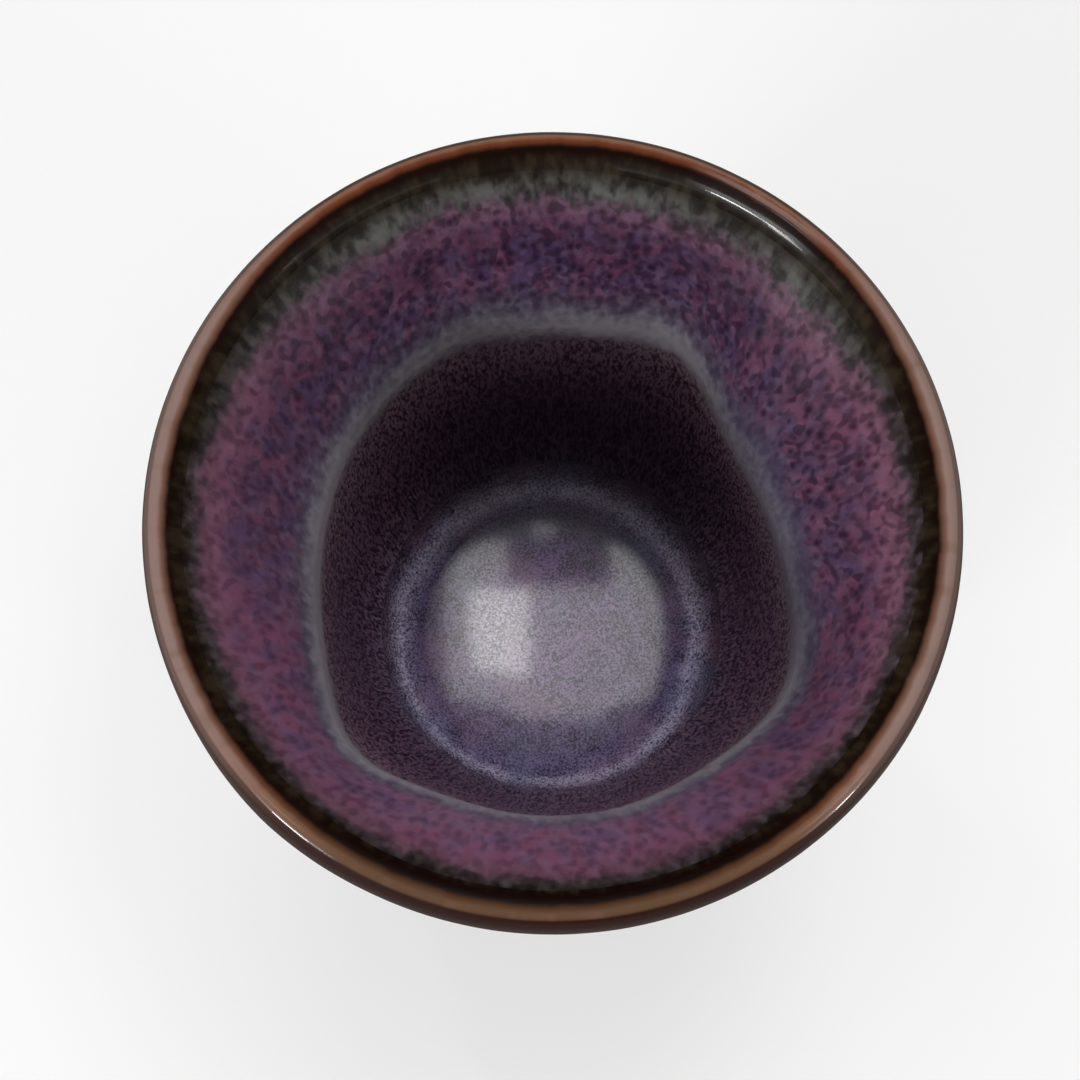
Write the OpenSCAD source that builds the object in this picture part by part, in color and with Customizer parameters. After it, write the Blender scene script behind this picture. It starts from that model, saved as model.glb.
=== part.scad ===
// Guinomi, a small sake cup of wheel-thrown stoneware. Its lip flares over a narrow waist, pressed
// in between thumb and fingers while the clay was soft. A steep well runs down from there to a
// dished floor. The bowl stands on a foot ring and wears coats of glaze: iron brown over the lip,
// purple inside and out, and a thick glassy pool on the floor.
// The origin is the middle of the foot's bottom face and +Z is up. Sizes are in millimetres.

/* [Cup] */
// Height of the glazed cup, from the table to the crest of the lip
cup_h = 52; // [49:0.5:56]
// Diameter of the glazed cup over the widest line of its lip
rim_d = 64; // [61:0.5:68]

/* [Lip] */
// Thickness of the clay at the lip
lip_t = 1.7; // [1.5:0.1:2.3]
// Height of the upright roll on the outside of the lip
lip_roll_h = 4.2; // [3.4:0.2:5]

/* [Bowl] */
// Thickness of the clay wall below the lip
wall_t = 2.5; // [2.1:0.1:3]
// Glazed inner diameter half-way down the flare
flare_d = 47; // [45:0.5:50]
// Depth of that line below the crest
flare_drop = 9.4; // [8:0.2:11]
// Glazed inner diameter at the waist, where the flare turns into the well
waist_d = 41; // [38:0.5:43]
// Depth of the waist below the crest
waist_drop = 15.8; // [14.4:0.2:17.4]
// Glazed inner diameter half-way down the well
throat_d = 37.4; // [35:0.2:38]
// Glazed inner diameter at the corner of the well and the floor
well_d = 27; // [25:0.5:29.5]
// Thickness of the clay floor at its middle
floor_t = 4.3; // [3.5:0.1:5.5]
// How far the middle of the floor lies below its edge
floor_dish = 1.6; // [0.8:0.1:2.4]

/* [Foot] */
// Outer diameter of the foot ring where it meets the bowl
foot_d = 27; // [25:0.5:30]
// Height of the foot ring
foot_h = 5; // [4:0.25:6]
// Width of the foot ring's wall where it meets the bowl
foot_w = 4.6; // [3.8:0.2:5.4]
// How far each side of the foot ring leans in towards the table
foot_taper = 0.5; // [0.2:0.1:0.8]
// Bevel along both edges of the foot's bottom face
foot_bevel = 0.4; // [0.2:0.1:0.7]
// Diameter of the hip, where the wall turns in to the foot
hip_d = 35; // [33.5:0.5:37]
// Height of the hip above the foot ring
hip_h = 3.4; // [2.6:0.2:4.4]

/* [Presses] */
// Direction of the thumb's press
press_angle = 27; // [0:1:90]
// Half width of the thumb's press, as an angle
press_spread = 43; // [30:1:46]
// Depth of the thumb's press, as a share of the radius
press_share = 0.122; // [0:0.002:0.15]
// Direction of the fingers' press, across from the thumb
finger_angle = 171; // [140:1:200]
// Half width of the fingers' press, as an angle
finger_spread = 43; // [30:1:46]
// Depth of the fingers' press, as a share of the radius
finger_share = 0.082; // [0:0.002:0.12]

/* [Glaze] */
// Thickness of the iron glaze on the lip
rim_glaze_t = 0.35; // [0.25:0.05:0.5]
// Thickness of the purple glaze inside
inner_glaze_t = 0.5; // [0.35:0.05:0.7]
// Thickness of the purple glaze outside
outer_glaze_t = 0.6; // [0.4:0.05:0.8]
// Thickness of the glaze that pooled on the middle of the floor
pool_glaze_t = 0.9; // [0.6:0.05:1.2]
// Thickness of the roll where the outer glaze ran down and stopped
welt_t = 1.1; // [0.8:0.05:1.3]

/* [Hidden] */

// Steps round the cup, and round the foot's true circles
around = 60;
$fn = 96;

// The clay's own faces lie one coat of glaze behind the glazed ones
crest_z = cup_h - rim_glaze_t;
rim_r = rim_d / 2 - rim_glaze_t;
floor_z = foot_h + floor_t;
corner_z = floor_z + floor_dish;
waist_z = crest_z - waist_drop;
well_r = well_d / 2 + inner_glaze_t;
throat_z = (waist_z + corner_z) / 2;

// The floor is level out to this share of the well's radius
floor_flat_share = 0.5;

// Corners of the line that the clay's face follows: across the floor, up the inside, over the
// lip and down the outside to the seat of the foot. The outer ones lie one wall behind the inner.
floor_mid = [0, floor_z];
floor_flat = [well_r * floor_flat_share, floor_z];
well_corner = [well_r, corner_z];
throat = [throat_d / 2 + inner_glaze_t, throat_z];
waist = [waist_d / 2 + inner_glaze_t, waist_z];
flare = [flare_d / 2 + inner_glaze_t, crest_z - flare_drop];
lip_in = [rim_r - lip_t, crest_z];
lip_out = [rim_r, crest_z];
lip_under = [rim_r, crest_z - lip_roll_h];
flare_out = behind(waist, flare, lip_in);
waist_out = behind(throat, waist, flare);
throat_out = behind(well_corner, throat, waist);
hip = [hip_d / 2, foot_h + hip_h];
seat = [foot_d / 2, foot_h];
corners = [
    floor_mid, floor_flat, well_corner, throat, waist, flare, lip_in,
    lip_out, lip_under, flare_out, waist_out, throat_out, hip, seat
];

// Where the curve touches each leg between two corners, as a share of the leg
touch_shares = [0, 0.6, 0.22, 0.9, 0.16, 0.86, 0.5, 0.5, 0.2, 0.55, 0.5, 0.8, 1];

// Steps along the curve at each corner
bend_steps = [0, 3, 4, 4, 3, 4, 3, 3, 3, 4, 3, 5, 3];

// The whole line as stations, each a point and the direction out of the clay: [r, z, nr, nz]
line = concat(
    [[floor_mid[0], floor_mid[1], 0, 1]],
    [for (c = [1 : len(corners) - 2]) each bend(c)]
);

// Stations at which one coat ends and the next begins
pool_end = station_after(2);
iron_start = station_after(5);
iron_end = station_after(8);
glaze_end = station_after(11);
last = len(line) - 1;

// Thickness of the coat by station. The welt swells just above the end of the outer glaze and
// then rounds off.
welt_end_share = 0.3;
coats = [
    [0, pool_glaze_t], [1, pool_glaze_t], [pool_end, inner_glaze_t],
    [iron_start - 2, inner_glaze_t], [iron_start, rim_glaze_t],
    [iron_end, rim_glaze_t], [iron_end + 2, outer_glaze_t],
    [glaze_end - 2, outer_glaze_t], [glaze_end - 1, welt_t],
    [glaze_end, welt_t * welt_end_share]
];

// The welt is thicker where the glaze ran further: so many runs round the cup, and this share
// more or less of its thickness
run_count = 7;
run_share = 0.25;

// Four places where the waist stands out between the presses: direction, half width as an
// angle, and height as a share of the radius
corner_angles = [63, 112, 224, 333];
corner_spreads = [15, 10, 16, 17];
corner_shares = [0.098, 0.024, 0.085, 0.07];

function mix(a, b, share) = a + (b - a) * share;
function unit(v) = v / norm(v);

// A unit vector square to a direction, on its left
function left(v) = [-v[1], v[0]];

// The point one wall thickness behind an inner corner, square to the wall there
function behind(below, at, above) = at - left(unit(above - below)) * wall_t;

// The stations that a curve passes at one corner, from where it touches the leg before it to
// where it touches the leg after it
function bend(c) =
    let (
        from = mix(corners[c - 1], corners[c], touch_shares[c - 1]),
        to = mix(corners[c], corners[c + 1], touch_shares[c])
    )
    [
        for (k = [1 : bend_steps[c]])
            let (
                t = k / bend_steps[c],
                before = mix(from, corners[c], t),
                after = mix(corners[c], to, t)
            )
            concat(mix(before, after, t), left(unit(after - before)))
    ];

// The number of the station at the end of a corner's curve
function station_after(c) = c == 0 ? 0 : bend_steps[c] + station_after(c - 1);

// A smooth bump of height 1 at one direction, with no step anywhere round the cup
function bump(a, centre, spread) =
    let (off = abs((a - centre + 540) % 360 - 180))
    exp(-pow(off / spread, 2));

// How far the wall is pushed out at a direction, as a share of its radius
function push(a) =
    let (
        bumps = [
            for (i = [0 : len(corner_angles) - 1]) bump(a, corner_angles[i], corner_spreads[i])
        ]
    )
    corner_shares * bumps
        - press_share * bump(a, press_angle, press_spread)
        - finger_share * bump(a, finger_angle, finger_spread);

// The push is full at the waist, and fades out at the lip and at the floor
function ease(t) = let (s = min(max(t, 0), 1)) s * s * (3 - 2 * s);
function hold(z) = z > waist_z
    ? ease((crest_z - rim_glaze_t - z) / (waist_drop - rim_glaze_t))
    : ease((z - corner_z) / (waist_z - corner_z));

// The welt's share of extra thickness at a direction
function run(i, a) = i == glaze_end - 1 ? 1 + run_share * cos(run_count * a) : 1;

// A point of the clay's face, or of the glaze's face over it
function place(i, glazed, a) =
    let (
        t = glazed * lookup(i, coats) * run(i, a),
        r = (line[i][0] + line[i][2] * t) * (1 + hold(line[i][1]) * push(a))
    )
    [r * cos(a), r * sin(a), line[i][1] + line[i][3] * t];

// A solid turned round the axis. Its rings are [station, 1 for the glaze's face or 0 for the
// clay's], and it closes on the axis at two heights, or on itself when none are given.
module turned(rings, ends = []) {
    count = len(rings);
    points = concat(
        [for (ring = rings) for (j = [0 : around - 1]) place(ring[0], ring[1], j * 360 / around)],
        [for (z = ends) [0, 0, z]]
    );
    strips = ends == [] ? count : count - 1;
    faces = concat(
        [for (k = [0 : strips - 1]) for (j = [0 : around - 1]) each strip(rings, k, j)],
        ends == [] ? [] : [for (j = [0 : around - 1]) each [
            [count * around, (j + 1) % around, j],
            [count * around + 1, (count - 1) * around + j, (count - 1) * around + (j + 1) % around]
        ]]
    );
    polyhedron(points, faces);
}

// Two triangles between a ring and the next. Solids that meet share the same diagonals, so
// their faces match exactly.
function strip(rings, k, j) =
    let (
        next = (k + 1) % len(rings),
        a = k * around + j,
        b = k * around + (j + 1) % around,
        c = next * around + (j + 1) % around,
        d = next * around + j,
        backwards = rings[k][0] > rings[next][0]
            || (rings[k][0] == rings[next][0] && rings[k][1] == 0)
    )
    backwards ? [[a, b, d], [b, c, d]] : [[a, b, c], [a, c, d]];

// A coat of glaze between two stations, from its face round to the clay's
function coat(from, to) = concat(
    [for (i = [from : to]) [i, 1]],
    [for (i = [to : -1 : from]) [i, 0]]
);

// The thrown bowl: one piece of stoneware from floor to lip
module clay_bowl() {
    color([0.52, 0.43, 0.36])
        turned([for (i = [1 : last]) [i, 0]], [floor_z, foot_h]);
}

// The foot ring, thrown onto the upturned bowl and turned true
module foot_ring() {
    outer = foot_d / 2;
    inner = outer - foot_w;
    color([0.46, 0.37, 0.30])
        rotate_extrude()
            polygon([
                [inner, foot_h],
                [outer, foot_h],
                [outer - foot_taper, foot_bevel],
                [outer - foot_taper - foot_bevel, 0],
                [inner + foot_taper + foot_bevel, 0],
                [inner + foot_taper, foot_bevel]
            ]);
}

// The glass that ran down the well and pooled on the floor
module pool_glaze() {
    color([0.48, 0.44, 0.56])
        turned(coat(1, pool_end), [floor_z + pool_glaze_t, floor_z]);
}

// The purple coat inside, from the pool up to the iron band
module inner_glaze() {
    color([0.36, 0.22, 0.33])
        turned(coat(pool_end, iron_start));
}

// The iron-brown coat that wraps the lip
module rim_glaze() {
    color([0.45, 0.29, 0.22])
        turned(coat(iron_start, iron_end));
}

// The purple coat outside, which ends in a thick welt above the bare foot
module outer_glaze() {
    color([0.32, 0.20, 0.31])
        turned(coat(iron_end, glaze_end));
}

clay_bowl();
foot_ring();
pool_glaze();
inner_glaze();
rim_glaze();
outer_glaze();
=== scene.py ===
# A guinomi, a small sake cup in glazed stoneware, standing on a white table and seen from above.
import math
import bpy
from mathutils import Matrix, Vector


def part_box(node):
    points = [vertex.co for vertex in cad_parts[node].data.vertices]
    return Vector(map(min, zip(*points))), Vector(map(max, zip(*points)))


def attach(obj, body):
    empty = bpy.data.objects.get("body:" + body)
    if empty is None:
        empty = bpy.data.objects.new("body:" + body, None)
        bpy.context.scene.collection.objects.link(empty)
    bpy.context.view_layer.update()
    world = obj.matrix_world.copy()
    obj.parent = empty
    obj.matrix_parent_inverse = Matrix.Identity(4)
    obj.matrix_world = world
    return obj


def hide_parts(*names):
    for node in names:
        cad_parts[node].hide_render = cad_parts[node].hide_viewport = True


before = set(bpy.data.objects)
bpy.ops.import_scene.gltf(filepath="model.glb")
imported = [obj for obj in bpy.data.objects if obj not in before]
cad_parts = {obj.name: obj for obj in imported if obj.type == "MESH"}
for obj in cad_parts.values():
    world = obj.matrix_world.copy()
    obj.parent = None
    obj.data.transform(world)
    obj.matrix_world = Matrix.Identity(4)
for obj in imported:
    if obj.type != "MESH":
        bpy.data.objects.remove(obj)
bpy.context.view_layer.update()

from types import SimpleNamespace

import bmesh
import bpy
from mathutils import Vector

# The thrown bowl
# Dark iron-bearing stoneware, thrown on the wheel from the floor to the lip. While the clay was
# soft, thumb and fingers pressed the waist in from both sides, and the wall stood out at four
# corners between them. Glaze covers all of it but the hip and the hollow over the foot.
MM = 0.001
TURN = 2 * math.pi
seat_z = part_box("clay_bowl")[0].z
crest_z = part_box("rim_glaze")[1].z
rim_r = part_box("rim_glaze")[1].y

rim_glaze_t = 0.35 * MM
inner_glaze_t = 0.5 * MM
outer_glaze_t = 0.6 * MM
welt_t = 1.1 * MM

clay_crest = crest_z - rim_glaze_t
clay_rim = rim_r - rim_glaze_t
wall_t = 2.5 * MM
lip_t = 1.7 * MM
lip_h = 4.2 * MM
floor_z = seat_z + 4.3 * MM
corner_z = floor_z + 1.6 * MM
waist_z = clay_crest - 15.8 * MM
flare_z = clay_crest - 9.4 * MM
hip_z = seat_z + 3.4 * MM
well_r = 13.5 * MM + inner_glaze_t
throat_r = 18.7 * MM + inner_glaze_t
waist_r = 20.5 * MM + inner_glaze_t
flare_r = 23.5 * MM + inner_glaze_t
hip_r = 17.5 * MM
foot_r = 13.5 * MM

# Corners of the line that the potter's rib followed, as radius and height
floor_mid = Vector((0, floor_z))
floor_flat = Vector((well_r / 2, floor_z))
well_corner = Vector((well_r, corner_z))
throat = Vector((throat_r, (waist_z + corner_z) / 2))
waist = Vector((waist_r, waist_z))
flare = Vector((flare_r, flare_z))
lip_in = Vector((clay_rim - lip_t, clay_crest))
lip_out = Vector((clay_rim, clay_crest))
lip_under = Vector((clay_rim, clay_crest - lip_h))


def outward(direction):
    """The unit vector to the left of a direction along the line, which leads out of the clay."""
    return Vector((-direction.y, direction.x)).normalized()


flare_out = flare - outward(lip_in - waist) * wall_t
waist_out = waist - outward(flare - throat) * wall_t
throat_out = throat - outward(waist - well_corner) * wall_t
hip = Vector((hip_r, hip_z))
seat = Vector((foot_r, seat_z))
corners = [
    floor_mid, floor_flat, well_corner, throat, waist, flare, lip_in,
    lip_out, lip_under, flare_out, waist_out, throat_out, hip, seat,
]

# Where the curve touches each leg between two corners, and its stations round each corner
touch_shares = [0, 0.6, 0.22, 0.9, 0.16, 0.86, 0.5, 0.5, 0.2, 0.55, 0.5, 0.8, 1]
bend_steps = [0, 3, 4, 4, 3, 4, 3, 3, 3, 4, 3, 5, 3]
pool_end, iron_start, iron_end, glaze_end = (sum(bend_steps[: c + 1]) for c in (2, 5, 8, 11))
last_station = sum(bend_steps)


def ease(share):
    """A smooth rise from 0 to 1."""
    share = min(max(share, 0), 1)
    return share * share * (3 - 2 * share)


def between(stops, at):
    """The value of a chain of (place, value) stops at one place, eased from stop to stop."""
    for (low, first), (high, second) in zip(stops, stops[1:]):
        if at <= high:
            return first + (second - first) * ease((at - low) / (high - low))
    return stops[-1][1]


def press_hold(z):
    """How much of a press is left at one height: all at the waist, none at lip and floor."""
    if z > waist_z:
        top = clay_crest - rim_glaze_t
        return ease((top - z) / (top - waist_z))
    return ease((z - corner_z) / (waist_z - corner_z))


def throw_line(fine):
    """The clay's section as rows of station, point, outward direction and length so far."""
    rows = [(0, floor_mid, Vector((0, 1)), 0)]
    station = length = 0
    for c, steps in enumerate(bend_steps[1:], 1):
        start = corners[c - 1].lerp(corners[c], touch_shares[c - 1])
        end = corners[c].lerp(corners[c + 1], touch_shares[c])
        for k in range(1, steps * fine + 1):
            share = k / (steps * fine)
            before = start.lerp(corners[c], share)
            after = corners[c].lerp(end, share)
            point = before.lerp(after, share)
            length += (point - rows[-1][1]).length
            rows.append((station + share * steps, point, outward(after - before), length))
        station += steps
    return rows


# How much of the throwing ripples and of the glaze's swells shows, by station
relief_stops = [
    (0, 0.1), (pool_end, 0.3), (pool_end + 2, 1), (iron_start - 2, 1), (iron_start, 0.4),
    (iron_end, 0.4), (iron_end + 2, 1), (glaze_end - 3, 1), (last_station, 0.6),
]


def row(station, point, out, length, thick=0.0, skin=1.0, run=0.0, fall=0.0):
    """One row of a turned section, with what the turning tree needs to know about it."""
    return {
        "at": point + out * thick,
        "out": out,
        "down": Vector((out.y, -out.x)) * fall,
        "hold": press_hold(point.y),
        "skin": skin * between(relief_stops, station),
        "along": length,
        "run": run,
    }


class Wire:
    """An output socket of a node tree. Sums and products of wires add that tree's Math nodes."""

    def __init__(self, tree, socket=None):
        self.tree = tree
        self.socket = socket

    def node(self, kind, settings, values, output=0):
        """Adds a node, with its settings first and then the values or wires of its inputs."""
        made = self.tree.nodes.new(kind)
        for name, setting in settings.items():
            if name == "stops":
                ramp = made.color_ramp
                while len(ramp.elements) < len(setting):
                    ramp.elements.new(1)
                for element, (place, tone) in zip(ramp.elements, setting):
                    element.position = place
                    element.color = tone
            else:
                setattr(made, name, setting)
        for name, value in values.items():
            if isinstance(value, Wire):
                self.tree.links.new(value.socket, made.inputs[name])
            else:
                made.inputs[name].default_value = value
        return Wire(self.tree, made.outputs[output] if made.outputs else None)

    def reckon(self, operation, *values):
        """A Math node of any values, for sums in which this wire doesn't come first."""
        return self.node("ShaderNodeMath", {"operation": operation}, dict(enumerate(values)))

    def math(self, operation, *others):
        """A Math node of this wire and the others."""
        return self.reckon(operation, self, *others)

    def rise(self, low, high, start=0.0, end=1.0):
        """Goes smoothly from start to end while this wire goes from low to high."""
        settings = {"interpolation_type": "SMOOTHSTEP"}
        return self.node("ShaderNodeMapRange", settings, {0: self, 1: low, 2: high, 3: start, 4: end})

    def window(self, low, full, fading, high):
        """1 while this wire is between full and fading, with smooth slopes to 0 at low and high."""
        return self.rise(low, full) * self.rise(high, fading)

    def tint(self, low, high):
        """A colour that goes from low to high while this wire goes from 0 to 1."""
        return self.node("ShaderNodeMix", {"data_type": "RGBA"}, {0: self, 6: low, 7: high}, 2)

    def __add__(self, other):
        return self.math("ADD", other)

    def __sub__(self, other):
        return self.math("SUBTRACT", other)

    def __rsub__(self, other):
        return self.reckon("SUBTRACT", other, self)

    def __mul__(self, other):
        return self.math("MULTIPLY", other)

    def __truediv__(self, other):
        return self.math("DIVIDE", other)

    def __rtruediv__(self, other):
        return self.reckon("DIVIDE", other, self)

    __radd__ = __add__
    __rmul__ = __mul__


# The presses: direction and half width as angles, and the push outwards as a share of the radius
presses = {"Thumb": (27, 43, -0.122), "Fingers": (171, 43, -0.082), "Corner 1": (63, 15, 0.098),
           "Corner 2": (112, 10, 0.024), "Corner 3": (224, 16, 0.085), "Corner 4": (333, 17, 0.07)}
runs_round = 7

# A tree that turns a section round the axis, presses it, and lays ripples, swells and drips on it
thrown = bpy.data.node_groups.new("Thrown and pressed", "GeometryNodeTree")
for label, kind in {"Section": "Geometry", "Steps round": "Int", "Ripple pitch": "Float",
                    "Ripple height": "Float", "Swell size": "Float", "Swell height": "Float",
                    "Run length": "Float", "Finish": "Material"}.items():
    thrown.interface.new_socket(label, in_out="INPUT", socket_type="NodeSocket" + kind)
for label in presses:
    for part in ("direction", "spread", "push"):
        thrown.interface.new_socket(f"{label} {part}", in_out="INPUT", socket_type="NodeSocketFloat")
thrown.interface.new_socket("Piece", in_out="OUTPUT", socket_type="NodeSocketGeometry")
thrown_key = {item.name: item.identifier for item in thrown.interface.items_tree}

wire = Wire(thrown)
inputs = thrown.nodes.new("NodeGroupInput").outputs
given = {socket.name: Wire(thrown, socket) for socket in inputs if socket.name}
section_rows = wire.node("GeometryNodeAttributeDomainSize", {}, {0: given["Section"]})
sheet = wire.node("GeometryNodeMeshGrid", {}, {
    "Vertices X": given["Steps round"] + 1, "Vertices Y": section_rows})
index = wire.node("GeometryNodeInputIndex", {}, {})
row_number = index.math("MODULO", section_rows)
angle = ((index + 0.5) / section_rows).math("FLOOR") * TURN / given["Steps round"]


def sampled(name, kind):
    """What the section says of this row, by the attribute's name."""
    value = wire.node("GeometryNodeInputNamedAttribute", {"data_type": kind}, {"Name": name})
    return wire.node("GeometryNodeSampleIndex", {"data_type": kind}, {
        0: given["Section"], 1: value, 2: row_number})


def swung(vector):
    """A vector of the section, turned to this point's direction round the axis."""
    return wire.node("ShaderNodeVectorRotate", {"rotation_type": "Z_AXIS"}, {
        "Vector": vector, "Angle": angle})


def scaled(vector, factor):
    """A vector made longer by a factor."""
    return wire.node("ShaderNodeVectorMath", {"operation": "SCALE"}, {0: vector, 3: factor})


def added(first, second):
    """The sum of two vectors."""
    return wire.node("ShaderNodeVectorMath", {"operation": "ADD"}, {0: first, 1: second})


push = 0.0
for label in presses:
    turned_by = angle - given[f"{label} direction"]
    off = turned_by.math("WRAP", -TURN / 2, TURN / 2) / given[f"{label} spread"]
    push = push + given[f"{label} push"] * (off * off * -1).math("EXPONENT")
pressed = 1 + push * sampled("hold", "FLOAT")

at = wire.node("ShaderNodeSeparateXYZ", {}, {0: sampled("at", "FLOAT_VECTOR")})
at_z = Wire(thrown, at.socket.node.outputs["Z"])
on_wall = swung(wire.node("ShaderNodeCombineXYZ", {}, {"X": at * pressed, "Z": at_z}))
out = swung(sampled("out", "FLOAT_VECTOR"))
along = sampled("along", "FLOAT")
# The ripples climb in a spiral, as the thrower's fingers do, and the glaze swells and runs on them
spiral = (along / given["Ripple pitch"] * TURN + angle).math("SINE")
swell = wire.node("ShaderNodeTexNoise", {}, {
    "Vector": on_wall, "Scale": 1 / given["Swell size"], "Detail": 1.5}) - 0.5
relief = spiral * given["Ripple height"] + swell * 2 * given["Swell height"]
run = sampled("run", "FLOAT") * (angle * runs_round).math("COSINE")
lifted = scaled(out, relief * sampled("skin", "FLOAT") + run)
# The drips follow noise that is read along a circle, so that they close round the cup
drip_circle = scaled(wire.node("ShaderNodeCombineXYZ", {}, {
    "X": angle.math("COSINE"), "Y": angle.math("SINE")}), 2.2)
drip = wire.node("ShaderNodeTexNoise", {}, {
    "Vector": drip_circle, "Scale": 1.6, "Detail": 2.5}) - 0.5
dripped = scaled(swung(sampled("down", "FLOAT_VECTOR")), drip * 2 * given["Run length"])
placed = wire.node("GeometryNodeSetPosition", {}, {
    "Geometry": sheet, "Position": added(on_wall, added(lifted, dripped))})
weld = 0.001 * MM
closed = wire.node("GeometryNodeMergeByDistance", {}, {"Geometry": placed, "Distance": weld})
edge_angle = wire.node("GeometryNodeInputMeshEdgeAngle", {}, {})
crease = 0.7
soft_edge = wire.node("FunctionNodeCompare", {"operation": "LESS_THAN"}, {0: edge_angle, 1: crease})
smooth = wire.node("GeometryNodeSetShadeSmooth", {"domain": "EDGE"}, {
    "Geometry": closed, "Shade Smooth": soft_edge})
realized = wire.node("GeometryNodeRealizeInstances", {}, {"Geometry": smooth})
finished = wire.node("GeometryNodeSetMaterial", {}, {
    "Geometry": realized, "Material": given["Finish"]})
result = thrown.nodes.new("NodeGroupOutput")
thrown.links.new(finished.socket, result.inputs["Piece"])


def turn(name, rows, finish, steps_round=384, ripple=(1.5 * MM, 0), swells=(4 * MM, 0), run=0.0):
    """Turns a section's rows round the axis, presses them and returns the piece as a plain mesh."""
    line = bpy.data.meshes.new(name)
    line.from_pydata([(r["at"].x, 0, r["at"].y) for r in rows],
                     [(k, k + 1) for k in range(len(rows) - 1)], [])
    for label in ("hold", "skin", "along", "run"):
        values = line.attributes.new(label, "FLOAT", "POINT").data
        for value, r in zip(values, rows):
            value.value = r[label]
    for label in ("at", "out", "down"):
        values = line.attributes.new(label, "FLOAT_VECTOR", "POINT").data
        for value, r in zip(values, rows):
            value.vector = (r[label].x, 0, r[label].y)
    piece = bpy.data.objects.new(name, line)
    bpy.context.scene.collection.objects.link(piece)
    modifier = piece.modifiers.new("thrown", "NODES")
    modifier.node_group = thrown
    sizes = {"Steps round": steps_round, "Ripple pitch": ripple[0], "Ripple height": ripple[1],
             "Swell size": swells[0], "Swell height": swells[1], "Run length": run, "Finish": finish}
    for label, (direction, spread, depth) in presses.items():
        sizes[f"{label} direction"] = math.radians(direction)
        sizes[f"{label} spread"] = math.radians(spread)
        sizes[f"{label} push"] = depth
    for label, size in sizes.items():
        modifier[thrown_key[label]] = size
    graph = bpy.context.evaluated_depsgraph_get()
    mesh = bpy.data.meshes.new_from_object(piece.evaluated_get(graph))
    piece.modifiers.remove(modifier)
    piece.data = mesh
    shell = bmesh.new()
    shell.from_mesh(mesh)
    bmesh.ops.recalc_face_normals(shell, faces=shell.faces)
    shell.to_mesh(mesh)
    shell.free()
    for label in ("hold", "skin", "along", "run", "at", "out", "down"):
        if label in mesh.attributes:
            mesh.attributes.remove(mesh.attributes[label])
    return piece


def shade(red, green, blue):
    """A colour written as it looks, in steps of 255, as the linear colour that a shader takes."""
    parts = [part / 255 for part in (red, green, blue)]
    linear = [part / 12.92 if part < 0.04045 else ((part + 0.055) / 1.055) ** 2.4 for part in parts]
    return linear + [1]


def start_finish(name):
    """A new material, and wires for where a point is: in mm, and as a direction from the axis."""
    finish = bpy.data.materials.new(name)
    finish.use_nodes = True
    finish.node_tree.nodes.clear()
    in_metres = Wire(finish.node_tree).node("ShaderNodeTexCoord", {}, {}, "Object")
    place = in_metres.node("ShaderNodeVectorMath", {"operation": "SCALE"}, {0: in_metres, 3: 1 / MM})
    parts = place.node("ShaderNodeSeparateXYZ", {}, {0: place}).socket.node.outputs
    x, y, z = (Wire(finish.node_tree, part) for part in parts)
    radius = (x * x + y * y).math("SQRT")
    return SimpleNamespace(finish=finish, place=place, x=x, y=y, z=z, radius=radius,
                           east=x / radius, north=y / radius, depth=crest_z / MM - z)


def end_finish(colour, roughness, height, bump_mm, constants):
    """Ends a material: the wires of its shader, the depth of its bump and the shader's constants."""
    bump = height.node("ShaderNodeBump", {}, {
        "Strength": 1, "Distance": bump_mm * MM, "Height": height})
    values = {"Base Color": colour, "Roughness": roughness, "Normal": bump}
    shader = colour.node("ShaderNodeBsdfPrincipled", {}, values | constants)
    shader.node("ShaderNodeOutputMaterial", {}, {"Surface": shader})


def noise(place, size_mm, detail=2.0, roughness=0.5):
    """Noise from 0 to 1 whose lumps are about one size across."""
    return place.node("ShaderNodeTexNoise", {}, {
        "Vector": place, "Scale": 1 / size_mm, "Detail": detail, "Roughness": roughness})


def flecks(place, size_mm, low, high):
    """Uneven flecks, about one to each cell of a size: 1 inside a fleck and 0 between them."""
    far = place.node("ShaderNodeTexVoronoi", {}, {"Vector": place, "Scale": 1 / size_mm})
    ragged = (noise(place, size_mm * 0.8, 1) - 0.5) * 0.35
    return (far + ragged).rise(low, high, 1, 0)


clay = start_finish("stoneware")
sand = noise(clay.place, 0.35, 3, 0.6)
body = noise(clay.place, 5, 3)
grooves = (clay.z * (TURN / 0.7) + noise(clay.place, 6) * 4).math("SINE")
fired = body.rise(0.35, 0.65).tint(shade(88, 67, 56), shade(114, 91, 76))
grog = sand.rise(0.64, 0.72).tint(fired, shade(160, 142, 122))
specks = flecks(clay.place, 1.3, 0.05, 0.2)
colour = sand.rise(0.38, 0.28).tint(grog, shade(60, 45, 38))
colour = specks.tint(colour, shade(36, 25, 21))
end_finish(colour, 0.78 + (sand - 0.5) * 0.3, sand + grooves * 0.08, 0.1,
           {"Specular IOR Level": 0.3})

# Under the bowl, inside the foot, the turning tool left a shallow spiral and a low button of clay
hollow_stops = [(0, 0.7 * MM), (3.2 * MM, 0.1 * MM), (9 * MM, 0), (foot_r, 0)]
hollow_steps = 48
under = []
for k in range(1, hollow_steps + 1):
    r = foot_r * (1 - k / hollow_steps)
    point = Vector((r, seat_z))
    under.append(row(last_station, point, Vector((0, -1)), r, between(hollow_stops, r), 0.8))
bowl = turn("thrown_bowl", [row(*r) for r in throw_line(3)] + under, clay.finish,
            ripple=(1.1 * MM, 0.05 * MM), swells=(3 * MM, 0.04 * MM))
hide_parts("clay_bowl")
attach(bowl, "root")

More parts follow.
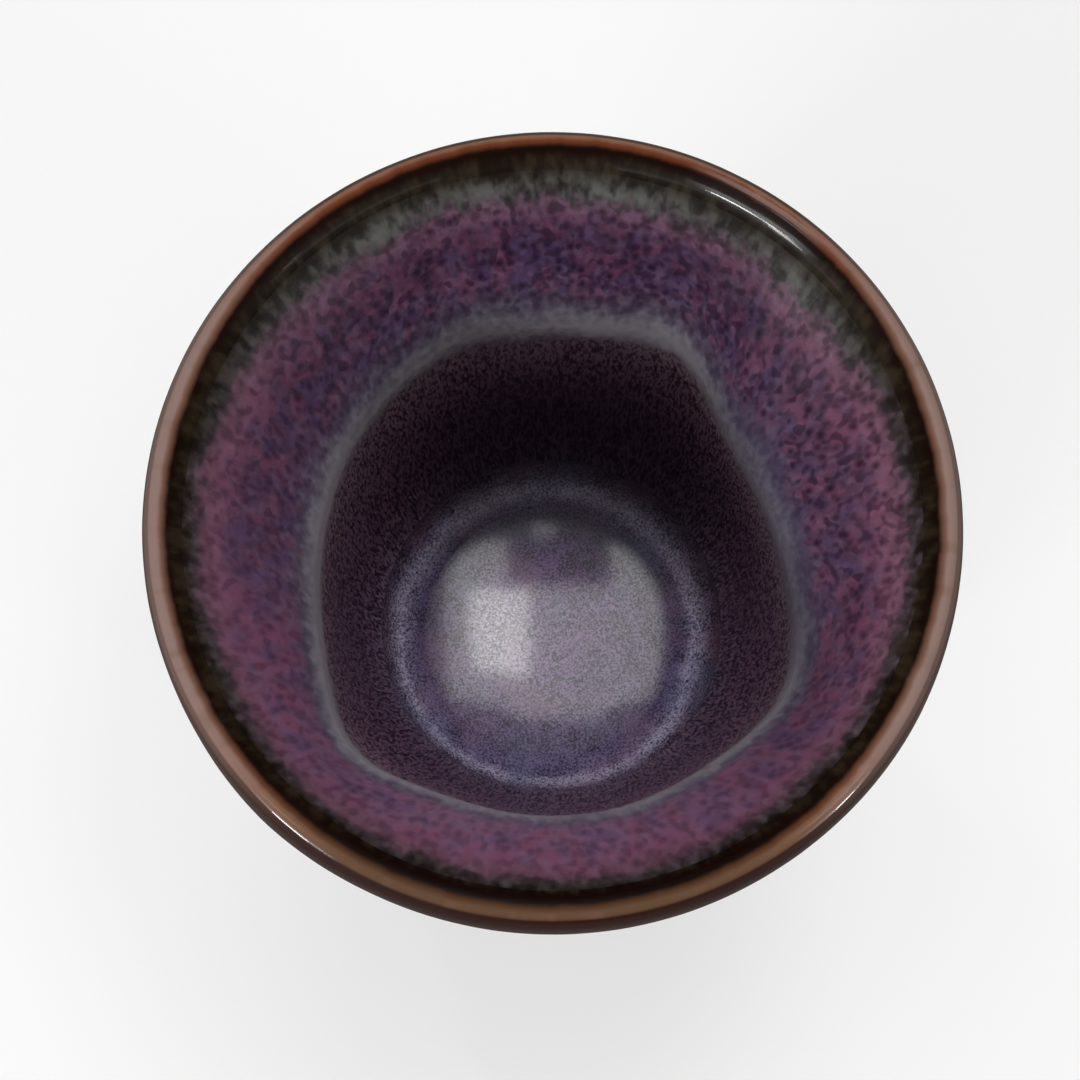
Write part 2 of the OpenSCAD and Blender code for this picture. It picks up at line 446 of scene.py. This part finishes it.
# The foot ring
# The same stoneware, turned on the upside-down bowl with a loop tool, which left fine grooves.
# Its bottom edge was bevelled and wiped so that it won't scratch a table.
foot_w = 4.6 * MM
foot_taper = 0.5 * MM
foot_bevel = 0.4 * MM
foot_in = foot_r - foot_w
foot_step = 0.35 * MM
foot_corners = [
    Vector((foot_in, seat_z)),
    Vector((foot_r, seat_z)),
    Vector((foot_r - foot_taper, foot_bevel)),
    Vector((foot_r - foot_taper - foot_bevel, 0)),
    Vector((foot_in + foot_taper + foot_bevel, 0)),
    Vector((foot_in + foot_taper, foot_bevel)),
]
grooved_sides = (1, 5)
ring = []
for k, corner in enumerate(foot_corners):
    following = foot_corners[(k + 1) % len(foot_corners)]
    side = following - corner
    count = max(2, round(side.length / foot_step))
    for n in range(count):
        point = corner.lerp(following, n / count)
        skin = 0.6 if k in grooved_sides else 0
        ring.append(row(last_station, point, outward(side), point.y, skin=skin))
foot = turn("foot_ring_turned", ring + ring[:1], clay.finish, 288, ripple=(0.8 * MM, 0.05 * MM),
            swells=(3 * MM, 0.05 * MM))
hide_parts("foot_ring")
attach(foot, "root")

# The pool of glaze on the floor
# Glaze ran down the steep well in the kiln and gathered on the dished floor as thick, milky
# lilac glass, fine-grained, with a pale ring at the corner and a dark violet one inside it.

# The coats' thickness by station, from the middle of the floor over the lip to the hip
coat_stops = [
    (0, 0.55 * MM), (3.6, 1.23 * MM), (pool_end, inner_glaze_t),
    (iron_start - 2, inner_glaze_t), (iron_start, rim_glaze_t), (iron_start + 2, rim_glaze_t * 0.9),
    (iron_end - 2, rim_glaze_t * 0.9), (iron_end, rim_glaze_t),
    (iron_end + 2, outer_glaze_t), (glaze_end - 2, outer_glaze_t), (glaze_end - 1, welt_t * 0.9),
    (glaze_end - 0.4, welt_t), (glaze_end - 0.12, welt_t * 0.7), (glaze_end, 0),
]
# At the coats' outer end, how thick the runs are and how much of the drips shows
run_stops = [(glaze_end - 2, 0), (glaze_end - 0.6, welt_t * 0.25), (glaze_end, 0)]
fall_stops = [(glaze_end - 2.5, 0), (glaze_end - 0.6, 1), (glaze_end, 1)]
coat_fineness = 9
back_every = 3
slack = 0.01


def coat(first, last):
    """Rows of a coat of glaze between two stations: over its face and back along the clay."""
    line = [r for r in throw_line(coat_fineness) if first - slack <= r[0] <= last + slack]
    face = []
    back = []
    for k, r in enumerate(line):
        thick = between(coat_stops, r[0])
        run = between(run_stops, r[0])
        fall = between(fall_stops, r[0])
        face.append(row(*r, thick=thick, run=run, fall=fall))
        if k % back_every == 0:
            back.append(row(*r, skin=0, fall=fall))
    return face + back[::-1]


def bands(at, span, rows):
    """One colour for each column of tones in rows that start with a length in mm, up to a span."""
    colours = []
    for column in range(1, len(rows[0])):
        stops = [(r[0] / span, shade(*r[column])) for r in rows]
        colours.append(at.node("ShaderNodeValToRGB", {"stops": stops}, {0: at / span}))
    return colours


def facing(spot, degrees, spread):
    """1 in one direction round the axis, falling to 0 at a spread of degrees to each side."""
    turned = math.radians(degrees)
    along = spot.east * math.cos(turned) + spot.north * math.sin(turned)
    return along.rise(math.cos(math.radians(spread)), 1)


pool = start_finish("pooled glaze")
wander = (noise(pool.place, 3.5, 2) - 0.5) * 1.2
# The rings lie a little off the axis, and up the wall the height counts as distance too
off_x = pool.x + 0.4
off_y = pool.y + 0.6
off_middle = (off_x * off_x + off_y * off_y).math("SQRT")
climb_from = 12
reach = off_middle + wander + (pool.z - climb_from).math("MAXIMUM", 0)
reach = reach - facing(pool, 265, 80) * off_middle.rise(9, 13) * 0.5
# Distance from the middle of the rings, and the glaze's pale and deep tones there
pale, deep = bands(reach, 17, [
    (0, (118, 78, 136), (36, 21, 44)),
    (5, (114, 76, 134), (36, 21, 44)),
    (8.5, (98, 72, 120), (28, 15, 36)),
    (9.8, (90, 70, 114), (22, 12, 32)),
    (11.2, (92, 78, 120), (24, 15, 38)),
    (12.1, (130, 118, 152), (44, 36, 60)),
    (12.8, (178, 170, 196), (84, 76, 102)),
    (13.6, (166, 157, 182), (68, 58, 82)),
    (14.5, (128, 114, 136), (36, 26, 42)),
    (15.6, (112, 94, 114), (28, 16, 28)),
    (16.8, (102, 84, 102), (26, 14, 24)),
])
grain = noise(pool.place, 0.2, 2, 0.7)
cloud = noise(pool.place, 1.8, 2)
haze = noise(pool.place, 5, 1)
milky = (grain + (cloud - 0.5) * 0.3).rise(0.34, 0.66)
dust = flecks(pool.place, 0.9, 0.06, 0.14)
colour = dust.tint(milky.tint(deep, pale), shade(24, 14, 26))
colour = haze.rise(0.5, 0.66, 0, 0.25).tint(colour, shade(126, 88, 112))
colour = haze.rise(0.46, 0.3, 0, 0.25).tint(colour, shade(90, 100, 132))
# Painted light makes the violet ring paler and milky-grained in front, and painted shade darkens the
# glass round the back
painted_front_light = facing(pool, 262, 85) * off_middle.window(6, 8, 11, 12.5) * 0.3
colour = painted_front_light.tint(colour, milky.tint(shade(76, 60, 96), shade(158, 146, 178)))
# Painted shade round the back of the pool
painted_back_shade = facing(pool, 90, 100) * off_middle.rise(7, 11) * 0.75
colour = painted_back_shade.tint(colour, shade(14, 8, 18))
# The glass is clearest in the middle, and duller in the grain and towards the corner
clear = off_middle.rise(11.3, 9.6) * (0.52 + grain.rise(0.36, 0.64) * 0.48)
end_finish(colour, 0.4, grain, 0.02, {
    "Specular IOR Level": 0.25, "Coat Weight": clear, "Coat IOR": 1.78, "Coat Roughness": 0.13})
floor_pool = turn("pooled_glaze", coat(0, pool_end), pool.finish, swells=(5 * MM, 0.04 * MM))
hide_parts("pool_glaze")
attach(floor_pool, "root")

# The coat inside
# Purple glaze over iron slip. Under the lip it ran thin and broke to green-grey streaks, then it
# goes through pink and spotted plum to a smooth blue-grey on the pressed ridge of the waist,
# where it is thin again and a painted sheen makes it paler. Below the ridge it is a dark, finely
# spotted aubergine.
usual_radius = 24


def drawn_down(spot, height, stretch):
    """A place for noise that is drawn out down the wall, as running glaze is."""
    return height.node("ShaderNodeCombineXYZ", {}, {
        "X": spot.east * usual_radius, "Y": spot.north * usual_radius, "Z": height / stretch})


def ran_thin(spot, depth):
    """The olive and green-grey streaks where the glaze ran thin under the lip, and their noise."""
    streaks = noise(drawn_down(spot, spot.z, 2), 0.75)
    patches = noise(drawn_down(spot, spot.z, 1.5), 2.2, 1)
    light = (streaks * 0.6 + patches * 0.4).rise(0.4, 0.64)
    low = depth.rise(1.2, 4).tint(shade(20, 13, 6), shade(36, 34, 34))
    grey = spot.north.rise(-0.2, 0.8).tint(shade(68, 60, 56), shade(86, 88, 84))
    high = depth.rise(0.9, 3.6).tint(shade(40, 32, 20), grey)
    return light.tint(low, high), streaks


def mottled(cloud, grain, bubbles):
    """How pale the purple glaze is: clouded, finely grained, and paler where bubbles burst."""
    return cloud.rise(0.4, 0.68) * 0.45 + bubbles * 0.3 + (grain - 0.5) * 1.1


purple = start_finish("purple glaze inside")
depth = purple.depth
thin, streaks = ran_thin(purple, depth)
near = facing(purple, 262, 90)
melted = drawn_down(purple, depth, 1.15 + near)
cloud = noise(melted, 1.0, 1)
grain = noise(melted, 0.32, 2, 0.65)
wander = noise(purple.place, 7, 1)
banded = depth + (streaks - 0.5) * depth.rise(4, 8, 2, 0) + (cloud - 0.5) * 2 + (wander - 0.5) * 2
banded = banded + facing(purple, 185, 55) * depth.rise(9, 13) * 0.6
# Depth under the crest, and the glaze's middling, pale and deep tones there
middle, pale, deep = bands(banded, 44, [
    (3.4, (58, 46, 52), (84, 76, 82), (34, 24, 30)),
    (4.0, (68, 49, 60), (98, 80, 92), (42, 24, 36)),
    (4.9, (77, 50, 67), (106, 80, 98), (44, 20, 38)),
    (6.2, (66, 40, 60), (100, 74, 96), (32, 11, 32)),
    (7.8, (54, 31, 53), (90, 66, 91), (22, 7, 26)),
    (11, (60, 39, 62), (94, 73, 97), (30, 13, 36)),
    (12.6, (70, 54, 74), (98, 84, 104), (42, 29, 50)),
    (13.8, (86, 76, 93), (108, 100, 117), (62, 52, 72)),
    # Round the ridge the glaze is thin, and these pale greys carry a painted sheen too
    (15.0, (114, 108, 118), (130, 126, 134), (94, 88, 100)),
    (16.4, (128, 122, 124), (138, 133, 134), (108, 102, 105)),
    (17.4, (124, 115, 121), (138, 128, 134), (96, 86, 92)),
    (18.6, (98, 82, 88), (126, 108, 114), (56, 40, 46)),
    (20.6, (80, 57, 66), (124, 98, 108), (34, 18, 24)),
    (26, (66, 42, 56), (116, 86, 104), (20, 7, 14)),
    (34.6, (60, 38, 54), (108, 80, 100), (18, 6, 14)),
    (35.2, (76, 58, 72), (122, 101, 117), (30, 18, 28)),
    (35.9, (62, 40, 58), (108, 82, 102), (18, 6, 14)),
    (40, (84, 68, 88), (134, 116, 138), (30, 18, 32)),
    (42.5, (110, 98, 120), (150, 138, 160), (48, 38, 56)),
])
# Down in the well the clouds and spots give way to fine streaks
in_well = banded.rise(16.8, 19.5)
fine = noise(drawn_down(purple, purple.z, 2.2), 0.34, 2, 0.65)
light = mottled(cloud, grain, flecks(melted, 0.8, 0.05, 0.55))
light = light + in_well * (fine.rise(0.42, 0.6) - light)
far = facing(purple, 70, 125)
spots = flecks(melted, 0.95, 0.0, 0.66) * noise(melted, 2.4, 1).rise(0.28, 0.52)
smudge = noise(melted, 0.7, 0).rise(0.5, 0.3) * 0.7
spots = spots.math("MAXIMUM", smudge) * (0.52 + far * 0.48)
dark = spots + in_well * (fine.rise(0.52, 0.36) * 0.9 - spots)
# Between the lip and the ridge it billows into pink and blue. It is pinker away from the back.
# Painted shade darkens the middle of the back, and a blue-grey painted shade lies beside the
# ridge at the right.
plum = banded.window(4.2, 6.5, 12, 14)
billow = noise(melted, 1.8, 1)
pink = billow.rise(0.48, 0.66) * plum * (0.3 + near * 0.25)
blue = billow.rise(0.5, 0.34) * plum * 0.42
away = 1 - facing(purple, 92, 80)
washed = away * banded.window(3, 4.5, 12, 14) * 0.16
blush = away * banded.window(2.6, 3.6, 4.8, 6.4) * 0.26
# Painted shade in the middle of the back, and blue-grey painted shade beside the ridge at the right
painted_far_shade = facing(purple, 90, 75) * banded.window(4.6, 6.5, 8.5, 11) * 0.3
painted_ridge_shade = facing(purple, 14, 45) * banded.window(11, 13.5, 17, 19) * 0.5
# It is thinnest where the ridge goes round its corners, and a painted sheen makes it palest
# there: direction, spread and share
ridge_corners = [(68, 24, 1), (226, 24, 1), (330, 22, 1), (95, 40, 0.3), (185, 50, 0.6)]
edge = sum(facing(purple, degrees, spread) * share for degrees, spread, share in ridge_corners)
edge = edge.math("MINIMUM", 1) * banded.window(14.2, 16, 17.2, 18.8) * 0.6
# Painted shade darkens the far wall from the ridge on, darkest low down
shadowed = banded.rise(11.5, 13.5) * 0.34 + banded.rise(16.4, 18.4) * 0.2 + banded.rise(20, 31) * 0.26
shadowed = facing(purple, 88, 85) * shadowed * banded.rise(41, 38)
colour = light.tint(middle, pale)
colour = washed.tint(colour, shade(134, 96, 116))
# Painted light makes the plum band paler on the near wall
colour = (near * plum * 0.66).tint(colour, shade(132, 92, 122))
colour = blush.tint(colour, shade(140, 84, 108))
colour = pink.tint(colour, shade(122, 66, 90))
colour = blue.tint(colour, shade(70, 56, 90))
colour = dark.tint(colour, deep)
colour = painted_far_shade.tint(colour, shade(30, 12, 36))
colour = edge.tint(colour, shade(138, 133, 142))
colour = painted_ridge_shade.tint(colour, shade(66, 62, 84))
colour = shadowed.tint(colour, shade(14, 5, 10))
# The streaks under the lip are wider at the back than at the sides and in front
sides = purple.north.rise(0.8, 0.2, 0, 1.4)
colour = (banded + sides + (cloud - 0.5) * 1.5).rise(2.6, 4.6).tint(thin, colour)
end_finish(colour, 0.36 + (cloud - 0.5) * 0.2, light * 0.5 + grain * 0.5, 0.015,
           {"IOR": 1.45, "Specular IOR Level": 0.3})
inside = turn("inside_glaze", coat(pool_end, iron_start), purple.finish,
              ripple=(1.4 * MM, 0.008 * MM), swells=(4 * MM, 0.05 * MM))
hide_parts("inner_glaze")
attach(inside, "root")

# The iron glaze on the lip
# The lip was dipped in iron glaze. It drew thin over the crest and fired to an orange brown
# there, and a painted reflection turns it lighter and pinkish grey at the sides. It is thicker
# and nearly black in a soft line just inside the crest, and dark brown again down the outside
# of the roll.
iron = start_finish("iron glaze")
depth = iron.depth
inward = rim_r / MM - iron.radius
# Painted reflection: the lip is lighter and pinkish grey at the sides
painted_side_sheen = (iron.east * iron.east).rise(0.3, 0.85)
mottle = noise(drawn_down(iron, iron.z, 1.2), 1.3, 2)
thin, streaks = ran_thin(iron, depth)
# The thin glaze on the crest reaches further in at the sides and the front than at the back
front = iron.north.rise(-0.6, -0.95)
reach = inward + (mottle - 0.5) * 0.35 - iron.north.rise(0.3, 0.95, 1.05, 0.6) + front * 0.12
crest_tone = painted_side_sheen.tint(shade(124, 88, 70), shade(128, 105, 98))
crest_tone = front.tint(crest_tone, shade(88, 64, 46))
crest_tone = (front * inward.rise(1.0, 0.35) * 0.72).tint(crest_tone, shade(40, 16, 12))
crest_tone = mottle.rise(0.5, 0.8, 0, 0.5).tint(crest_tone, shade(108, 80, 66))
orange = front.tint(painted_side_sheen.tint(shade(94, 44, 18), shade(102, 70, 56)), shade(80, 50, 28))
colour = reach.rise(0.2, 0.65).tint(crest_tone, orange)
colour = reach.rise(0.55, 1.15).tint(colour, shade(17, 3, 0))
colour = (inward + (streaks - 0.5) * 1.2 - front * 0.6).rise(1.9, 2.9).tint(colour, thin)
outer = depth * depth.rise(2.5, 3.5).math("MAXIMUM", inward.rise(0.9, 0.5))
brown = front.tint(painted_side_sheen.tint(shade(60, 34, 24), shade(96, 76, 70)), shade(38, 16, 10))
colour = outer.rise(0.0, 0.25).tint(colour, brown)
colour = outer.rise(0.35, 1.0).tint(colour, painted_side_sheen.tint(shade(34, 14, 9), shade(60, 40, 34)))
# It is glassiest at one place inside the crest and at three outside it. It is fairly glassy below
# the roll, and a little at the joint with the coat inside.
wet_inside = facing(iron, 58, 13) * inward.window(1.0, 1.3, 2.2, 2.8)
wet_outside = sum(facing(iron, degrees, spread) for degrees, spread in ((231, 9), (315, 9), (134, 8)))
wet_outside = wet_outside * inward.window(0.5, 0.65, 1.05, 1.15) * 0.7
wet_below = depth.rise(3, 5) * inward.rise(2, 1) * 0.5
wet_seam = inward.rise(2.5, 3.1) * depth.rise(3, 2) * 0.26
glassy = (wet_inside + wet_outside + wet_below + wet_seam).math("MINIMUM", 1)
# Down the outside it breaks into the olive streaks over the purple coat, lower than inside
outside_drop = 3
thin, streaks = ran_thin(iron, depth - outside_drop)
colour = (depth + (streaks - 0.5) * 5).rise(3, 4.8).tint(colour, thin)
end_finish(colour, 0.42 + outer.rise(0.3, 0.9) * 0.2, mottle, 0.012,
           {"Coat Weight": glassy, "Coat Roughness": 0.08, "Specular IOR Level": 0.06})
lip = turn("iron_lip", coat(iron_start, iron_end), iron.finish, swells=(4 * MM, 0.05 * MM))
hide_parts("rim_glaze")
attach(lip, "root")

# The coat outside
# The same purple glaze. It ran down the outer wall, spotted and streaked, and stopped above the
# foot in a thick glassy roll with a wavy edge.
outer_purple = start_finish("purple glaze outside")
depth = outer_purple.depth
thin, streaks = ran_thin(outer_purple, depth - outside_drop)
drops = drawn_down(outer_purple, outer_purple.z, 1.7)
cloud = noise(drops, 1.2, 1)
grain = noise(drops, 0.34, 2, 0.65)
runs = noise(drawn_down(outer_purple, outer_purple.z, 7), 1.5)
wander = noise(outer_purple.place, 9, 2)
banded = depth + (runs - 0.5) * 8 + (cloud - 0.5) * 2.5 + (wander - 0.5) * 5
# Depth under the crest, and the glaze's middling, pale and deep tones there
middle, pale, deep = bands(banded, 52, [
    (6, (62, 52, 54), (92, 86, 86), (36, 28, 30)),
    (8, (82, 58, 70), (110, 90, 102), (46, 27, 36)),
    (10.5, (90, 55, 74), (118, 88, 106), (50, 24, 42)),
    (15, (68, 42, 66), (104, 76, 100), (34, 13, 34)),
    (20, (58, 38, 62), (94, 70, 96), (24, 10, 30)),
    (27, (70, 50, 76), (106, 84, 110), (32, 17, 40)),
    (34, (82, 66, 92), (118, 102, 126), (44, 30, 54)),
    (40, (100, 92, 114), (136, 130, 150), (58, 50, 74)),
    (43.5, (92, 88, 110), (126, 124, 144), (52, 48, 70)),
    (46, (64, 54, 70), (94, 86, 104), (34, 26, 38)),
    (50, (50, 38, 48), (76, 62, 74), (26, 16, 22)),
])
light = mottled(cloud, grain, flecks(drops, 0.85, 0.05, 0.55))
spots = flecks(drops, 1.1, 0.0, 0.66) * noise(drops, 3, 1).rise(0.3, 0.56)
smudge = noise(drops, 0.9, 1).rise(0.5, 0.32) * 0.7
billow = noise(drops, 3, 1)
colour = light.tint(middle, pale)
colour = (billow.rise(0.5, 0.7) * 0.35).tint(colour, shade(122, 66, 92))
colour = (billow.rise(0.48, 0.3) * 0.35).tint(colour, shade(74, 66, 104))
colour = (spots.math("MAXIMUM", smudge) * 0.85).tint(colour, deep)
colour = ((banded + (streaks - 0.5) * 2).rise(6, 8.5) * depth.rise(5.8, 7.4)).tint(thin, colour)
end_finish(colour, 0.27 + (cloud - 0.5) * 0.16, light * 0.5 + grain * 0.5, 0.02,
           {"IOR": 1.5, "Specular IOR Level": 0.4})
outside = turn("outside_glaze", coat(iron_end, glaze_end), outer_purple.finish,
               ripple=(3.2 * MM, 0.07 * MM), swells=(6 * MM, 0.12 * MM), run=0.8 * MM)
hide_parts("outer_glaze")
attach(outside, "root")

# The floor and backdrop
# A white table that runs on behind the cup. A little over half of what the camera sees of it is
# plain white, so that it stays pale and still keeps the cup's shadow.
table = bpy.data.materials.new("white table")
table.use_nodes = True
table.node_tree.nodes.clear()
wire = Wire(table.node_tree)
paper = wire.node("ShaderNodeBsdfPrincipled", {}, {
    "Base Color": (0.88, 0.88, 0.88, 1), "Roughness": 0.6, "Specular IOR Level": 0.2})
white = wire.node("ShaderNodeEmission", {}, {"Color": (0.9, 0.9, 0.9, 1), "Strength": 1})
ray = wire.node("ShaderNodeLightPath", {}, {}).socket.node.outputs
ray_kinds = ("Is Camera Ray", "Is Glossy Ray", "Is Transmission Ray")
seen = sum(Wire(table.node_tree, ray[kind]) for kind in ray_kinds)
white_share = seen.math("MINIMUM", 1) * 0.55
backdrop = wire.node("ShaderNodeMixShader", {}, {0: white_share, 1: paper, 2: white})
wire.node("ShaderNodeOutputMaterial", {}, {"Surface": backdrop})
table_half = 3.0
table_corners = [(-table_half, -table_half, 0), (table_half, -table_half, 0),
                 (table_half, table_half, 0), (-table_half, table_half, 0)]
floor_mesh = bpy.data.meshes.new("table")
floor_mesh.from_pydata(table_corners, [], [(0, 1, 2, 3)])
floor_mesh.materials.append(table)
floor = bpy.data.objects.new("table", floor_mesh)
bpy.context.scene.collection.objects.link(floor)

world = bpy.data.worlds.new("dim room")
world.use_nodes = True
room = world.node_tree.nodes["Background"].inputs
room["Color"].default_value = (1, 1, 1, 1)
room["Strength"].default_value = 0.2
bpy.context.scene.world = world

# The lamps
# Soft panels hang over the cup with a gap in the middle, a small skylight and a brighter window
# among them. One lamp stands behind the cup and two stand in front. The glint and the sparks are
# small, bright and low, for the glints on the lip. Each has its middle, width, height and radiance.
lamps = {
    "panel_left": ((-0.223, 0.128, 0.60), 0.154, 0.456, 2.1),
    "panel_right": ((0.195, 0.128, 0.60), 0.17, 0.456, 2.1),
    "panel_back": ((-0.018, 0.198, 0.60), 0.256, 0.38, 2.1),
    "skylight": ((0.023, -0.134, 0.60), 0.06, 0.04, 1.4),
    "window": ((0.127, 0.132, 0.59), 0.15, 0.22, 4.0),
    "rear": ((0.1, 0.8, 0.5), 0.5, 0.3, 4.4),
    "front_left": ((-0.42, -0.56, 0.32), 0.7, 0.35, 3.1),
    "front_right": ((0.45, -0.50, 0.32), 0.5, 0.35, 2.6),
    "glint": ((-0.44, -0.53, 0.315), 0.24, 0.024, 70),
    "spark_left": ((-0.42, -0.39, 0.22), 0.08, 0.05, 40),
    "spark_right": ((0.477, -0.325, 0.21), 0.05, 0.05, 35),
    "spark_back": ((-0.24, 0.40, 0.43), 0.04, 0.04, 50),
}
hung_level = ("panel_left", "panel_right", "panel_back", "skylight", "window")
for name, (spot, width, height, radiance) in lamps.items():
    lamp = bpy.data.lights.new(name, "AREA")
    lamp.shape = "RECTANGLE"
    lamp.size = width
    lamp.size_y = height
    lamp.energy = radiance * math.pi * width * height
    stand = bpy.data.objects.new(name, lamp)
    stand.location = spot
    if name not in hung_level:
        stand.rotation_euler = Vector(spot).to_track_quat("Z", "Y").to_euler()
    bpy.context.scene.collection.objects.link(stand)

# The camera
# It looks down on the mouth from in front, at the photograph's angle, and aims a little to the
# left of the middle of the crest and below it.
tilt = math.radians(76.1)
camera_reach = 0.320
aim_left = 0.96 * MM
aim_down = 1.70 * MM
back = Vector((0, -math.cos(tilt), math.sin(tilt)))
right = Vector((1, 0, 0))
up = back.cross(right)
crest = Vector((0, 0, crest_z))
aim = crest - right * aim_left - up * aim_down
camera = bpy.data.cameras.new("camera")
camera.lens = 138
camera.sensor_width = 36
camera.clip_start = 0.01
view = bpy.data.objects.new("camera", camera)
view.location = crest + back * camera_reach
view.rotation_euler = (view.location - aim).to_track_quat("Z", "Y").to_euler()
bpy.context.scene.collection.objects.link(view)
bpy.context.scene.camera = view
bpy.context.scene.view_settings.view_transform = "Standard"
